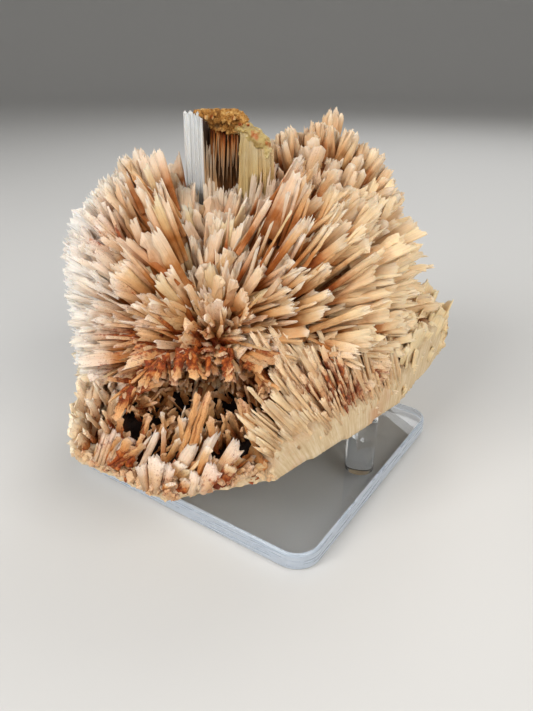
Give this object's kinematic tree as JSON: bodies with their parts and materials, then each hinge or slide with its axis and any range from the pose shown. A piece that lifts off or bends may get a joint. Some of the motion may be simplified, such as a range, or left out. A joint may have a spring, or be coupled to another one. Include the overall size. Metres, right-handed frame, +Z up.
{
  "type": "mordenite crystal specimen on a display stand",
  "caption": "Spray of flat peach-coloured mordenite crystal blades, sawn flat underneath, resting on the round pegs of a clear acrylic display stand.",
  "frame": {"origin": "centre of the underside of the stand's plate", "axes": "+Z up, +X to the right and +Y away from a viewer who faces the displayed side of the specimen"},
  "size_m": [0.1105, 0.1034, 0.0935],
  "materials": {
    "crystal": "satin, pale peach blades with rust-brown stains",
    "clear_acrylic": "clear polished acrylic"
  },
  "bodies": {
    "root": {"specimen": "crystal", "stand_base": "clear_acrylic", "stand_peg_right": "clear_acrylic", "stand_peg_front_left": "clear_acrylic", "stand_peg_rear_left": "clear_acrylic"}
  },
  "joints": []
}
